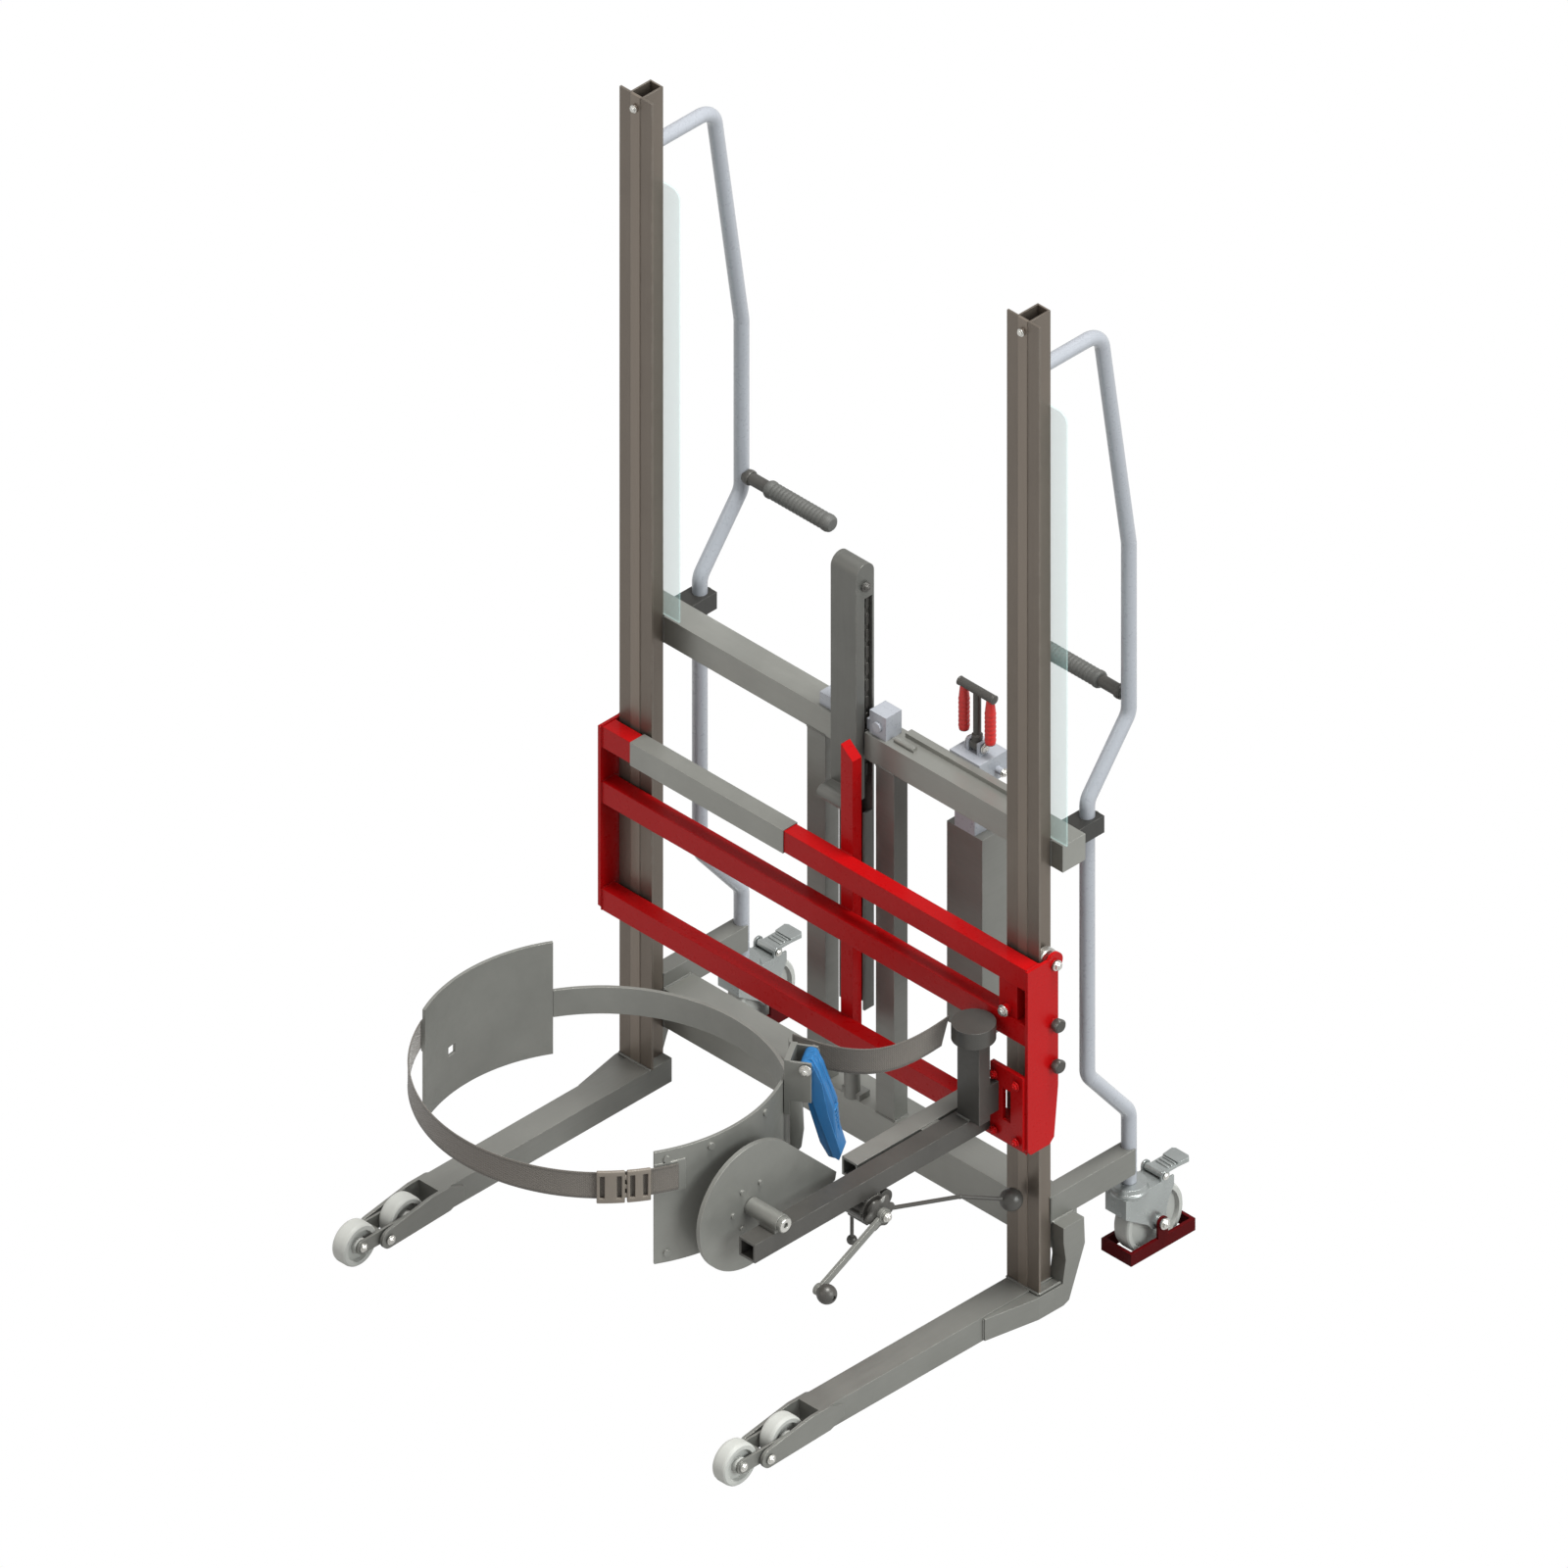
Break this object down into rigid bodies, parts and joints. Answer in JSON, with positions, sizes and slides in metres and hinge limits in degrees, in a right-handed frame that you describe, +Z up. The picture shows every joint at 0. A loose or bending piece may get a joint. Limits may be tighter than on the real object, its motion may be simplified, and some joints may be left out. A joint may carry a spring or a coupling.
{
  "type": "drum tipper",
  "caption": "Straddle stand on wheels with twin masts and a lifting carriage whose strapped cradle clamps a steel drum and tips it forward by a crank.",
  "frame": {"origin": "on the floor, in the middle of the overall length and width", "axes": "+Z up, +Y towards the operator, +X to the right seen from behind the drum side"},
  "size_m": [0.98, 1.1584, 1.914],
  "materials": {
    "brushed_steel": "brushed",
    "tube_grey": "satin",
    "grip_rubber": "matte",
    "black_paint": "satin",
    "clear_sheet": "clear",
    "red_paint": "gloss",
    "ground_steel": "ground",
    "webbing": "woven",
    "buckle_plastic": "matte",
    "blue_plastic": "satin",
    "zinc_plate": "plated",
    "wheel_nylon": "matte",
    "toe_red": "gloss"
  },
  "bodies": {
    "chassis": {"mast_left": "brushed_steel", "mast_right": "brushed_steel", "leg_left": "brushed_steel", "leg_right": "brushed_steel", "knee_brackets": "brushed_steel", "side_beams": "brushed_steel", "lower_cross_beam": "brushed_steel", "upper_cross_member": "brushed_steel", "centre_posts": "brushed_steel", "handle_tube_left": "tube_grey", "handle_tube_right": "tube_grey", "hand_grips": "grip_rubber", "tube_clamps": "black_paint", "guard_strips": "clear_sheet", "guide_block": "tube_grey", "pump_tank": "brushed_steel", "pump_head": "tube_grey", "lift_barrel": "brushed_steel"},
    "column_body": {"column": "brushed_steel", "lift_ram": "ground_steel", "lift_chain": "black_paint"},
    "sheave_body": {"chain_sheave": "ground_steel"},
    "pump_lever": {"pump_handle": "black_paint"},
    "carriage": {"carriage_plates": "red_paint", "carriage_bars": "red_paint", "carriage_upright": "red_paint", "rail_sleeve": "brushed_steel", "tipper_arm": "black_paint", "arm_beam": "brushed_steel", "pivot_housing": "brushed_steel", "gearbox": "black_paint"},
    "roller_left": {"guide_roller_left": "ground_steel"},
    "roller_right": {"guide_roller_right": "ground_steel"},
    "cradle": {"pivot_disc": "brushed_steel", "saddle_right": "brushed_steel", "saddle_left": "brushed_steel", "rear_band": "brushed_steel", "front_strap": "webbing", "strap_buckle": "buckle_plastic", "strap_tail": "webbing", "ratchet_body": "brushed_steel"},
    "ratchet_lever": {"ratchet_handle": "blue_plastic"},
    "crank": {"crank_arm": "black_paint"},
    "crank_grip": {"crank_knob": "black_paint"},
    "release": {"release_lever": "black_paint"},
    "lock": {"lock_lever": "black_paint"},
    "caster_left": {"caster_fork_left": "zinc_plate", "toe_guard_left": "toe_red"},
    "caster_wheel_body_left": {"caster_wheel_left": "wheel_nylon"},
    "brake_left": {"brake_pedal_left": "zinc_plate"},
    "bogie_body_left": {"bogie_left": "brushed_steel"},
    "load_front_left": {"load_wheel_left_front": "wheel_nylon"},
    "load_rear_left": {"load_wheel_left_rear": "wheel_nylon"},
    "caster_right": {"caster_fork_right": "zinc_plate", "toe_guard_right": "toe_red"},
    "caster_wheel_body_right": {"caster_wheel_right": "wheel_nylon"},
    "brake_right": {"brake_pedal_right": "zinc_plate"},
    "bogie_body_right": {"bogie_right": "brushed_steel"},
    "load_front_right": {"load_wheel_right_front": "wheel_nylon"},
    "load_rear_right": {"load_wheel_right_rear": "wheel_nylon"}
  },
  "joints": [
    {"name": "carriage_lift", "type": "slide", "parent": "chassis", "child": "carriage", "axis": [0, 0, 1], "range_m": [0, 0.85]},
    {"name": "column_lift", "type": "slide", "parent": "chassis", "child": "column_body", "axis": [0, 0, 1], "range_m": [0, 0.425]},
    {"name": "sheave_spin", "type": "hinge", "parent": "column_body", "child": "sheave_body", "pos_m": [0.0185, 0.27825, 1.177], "axis": [1, 0, 0], "continuous": true},
    {"name": "pump_stroke", "type": "hinge", "parent": "chassis", "child": "pump_lever", "pos_m": [0.202, 0.35225, 0.925], "axis": [1, 0, 0], "range_deg": [-20, 20]},
    {"name": "cradle_tip", "type": "hinge", "parent": "carriage", "child": "cradle", "pos_m": [0.35, -0.27575, 0.42], "axis": [1, 0, 0], "range_deg": [0, 120]},
    {"name": "crank_turn", "type": "hinge", "parent": "carriage", "child": "crank", "pos_m": [0.41, -0.07175, 0.344], "axis": [1, 0, 0], "range_deg": [0, 360]},
    {"name": "crank_knob_spin", "type": "hinge", "parent": "crank", "child": "crank_grip", "pos_m": [0.43, -0.21475, 0.273], "axis": [1, 0, 0], "continuous": true},
    {"name": "release_swing", "type": "hinge", "parent": "carriage", "child": "release", "pos_m": [0.35, -0.07175, 0.344], "axis": [1, 0, 0], "range_deg": [-25, 25]},
    {"name": "lock_swing", "type": "hinge", "parent": "carriage", "child": "lock", "pos_m": [0.402, -0.07175, 0.344], "axis": [1, 0, 0], "range_deg": [-20, 0]},
    {"name": "ratchet_swing", "type": "hinge", "parent": "cradle", "child": "ratchet_lever", "pos_m": [0.2824, -0.09929, 0.585], "axis": [0.5299, -0.848, 0], "range_deg": [0, 30]},
    {"name": "roller_left_spin", "type": "hinge", "parent": "carriage", "child": "roller_left", "pos_m": [-0.452, 0.25155, 0.69], "axis": [1, 0, 0], "continuous": true},
    {"name": "caster_left_swivel", "type": "hinge", "parent": "chassis", "child": "caster_left", "pos_m": [-0.428, 0.46125, 0.13], "axis": [0, 0, 1], "continuous": true},
    {"name": "caster_left_roll", "type": "hinge", "parent": "caster_left", "child": "caster_wheel_body_left", "pos_m": [-0.428, 0.50425, 0.0625], "axis": [1, 0, 0], "continuous": true},
    {"name": "brake_left_press", "type": "hinge", "parent": "caster_left", "child": "brake_left", "pos_m": [-0.428, 0.51925, 0.139], "axis": [1, 0, 0], "range_deg": [-8, 0]},
    {"name": "bogie_left_rock", "type": "hinge", "parent": "chassis", "child": "bogie_body_left", "pos_m": [-0.42, -0.35075, 0.0315], "axis": [1, 0, 0], "range_deg": [-10, 10]},
    {"name": "load_left_front_roll", "type": "hinge", "parent": "bogie_body_left", "child": "load_front_left", "pos_m": [-0.42, -0.40225, 0.0375], "axis": [1, 0, 0], "continuous": true},
    {"name": "load_left_rear_roll", "type": "hinge", "parent": "bogie_body_left", "child": "load_rear_left", "pos_m": [-0.42, -0.29925, 0.0375], "axis": [1, 0, 0], "continuous": true},
    {"name": "roller_right_spin", "type": "hinge", "parent": "carriage", "child": "roller_right", "pos_m": [0.452, 0.25155, 0.69], "axis": [1, 0, 0], "continuous": true},
    {"name": "caster_right_swivel", "type": "hinge", "parent": "chassis", "child": "caster_right", "pos_m": [0.428, 0.46125, 0.13], "axis": [0, 0, 1], "continuous": true},
    {"name": "caster_right_roll", "type": "hinge", "parent": "caster_right", "child": "caster_wheel_body_right", "pos_m": [0.428, 0.50425, 0.0625], "axis": [1, 0, 0], "continuous": true},
    {"name": "brake_right_press", "type": "hinge", "parent": "caster_right", "child": "brake_right", "pos_m": [0.428, 0.51925, 0.139], "axis": [1, 0, 0], "range_deg": [-8, 0]},
    {"name": "bogie_right_rock", "type": "hinge", "parent": "chassis", "child": "bogie_body_right", "pos_m": [0.42, -0.35075, 0.0315], "axis": [1, 0, 0], "range_deg": [-10, 10]},
    {"name": "load_right_front_roll", "type": "hinge", "parent": "bogie_body_right", "child": "load_front_right", "pos_m": [0.42, -0.40225, 0.0375], "axis": [1, 0, 0], "continuous": true},
    {"name": "load_right_rear_roll", "type": "hinge", "parent": "bogie_body_right", "child": "load_rear_right", "pos_m": [0.42, -0.29925, 0.0375], "axis": [1, 0, 0], "continuous": true}
  ],
  "couplings": [
    {"joint": "column_lift", "follows": "carriage_lift", "ratio": 0.5},
    {"joint": "crank_turn", "follows": "cradle_tip", "ratio": 3}
  ]
}
